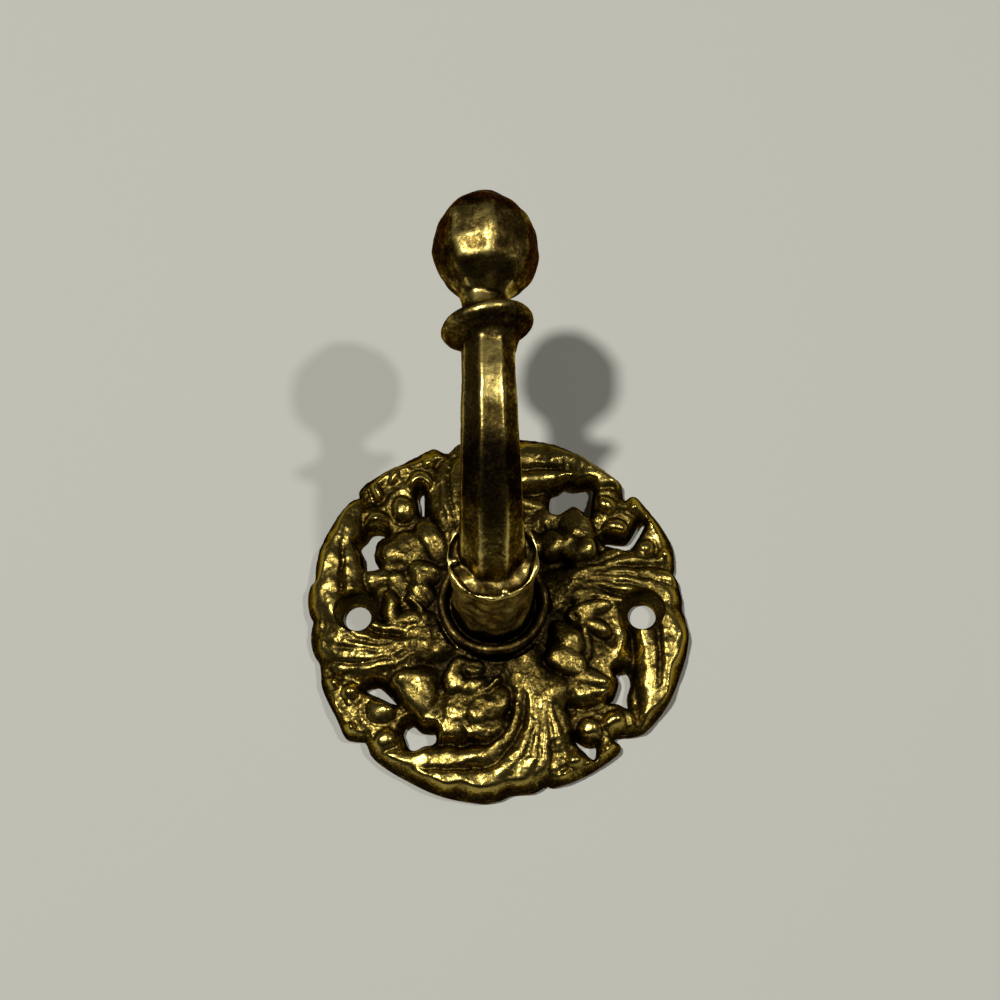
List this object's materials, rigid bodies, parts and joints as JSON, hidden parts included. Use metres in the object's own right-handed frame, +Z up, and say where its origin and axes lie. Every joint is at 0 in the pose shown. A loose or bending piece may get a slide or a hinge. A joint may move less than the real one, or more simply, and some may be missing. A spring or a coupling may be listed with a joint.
{
  "type": "wall hook",
  "caption": "Cast brass wall hook: a pierced round rosette of scrolled leaves, flowers and berries, and an octagonal arm that turns up to a collar and a faceted ball.",
  "frame": {"origin": "middle of the rosette's back face, halfway between the two wall screw holes", "axes": "+Z up the wall, -Y out from the wall towards the room, +X to the right as seen from the room"},
  "size_m": [0.062, 0.0509, 0.085],
  "materials": {
    "rosette_brass": "aged cast brass, dark patina in the hollows and worn bright on the high spots",
    "arm_brass": "aged cast brass, filed and hand polished, browned on the chamfers",
    "screw_brass": "dull turned brass"
  },
  "bodies": {
    "root": {"rosette_plate": "rosette_brass", "hook_arm": "arm_brass", "fixing_screw": "screw_brass"}
  },
  "joints": []
}
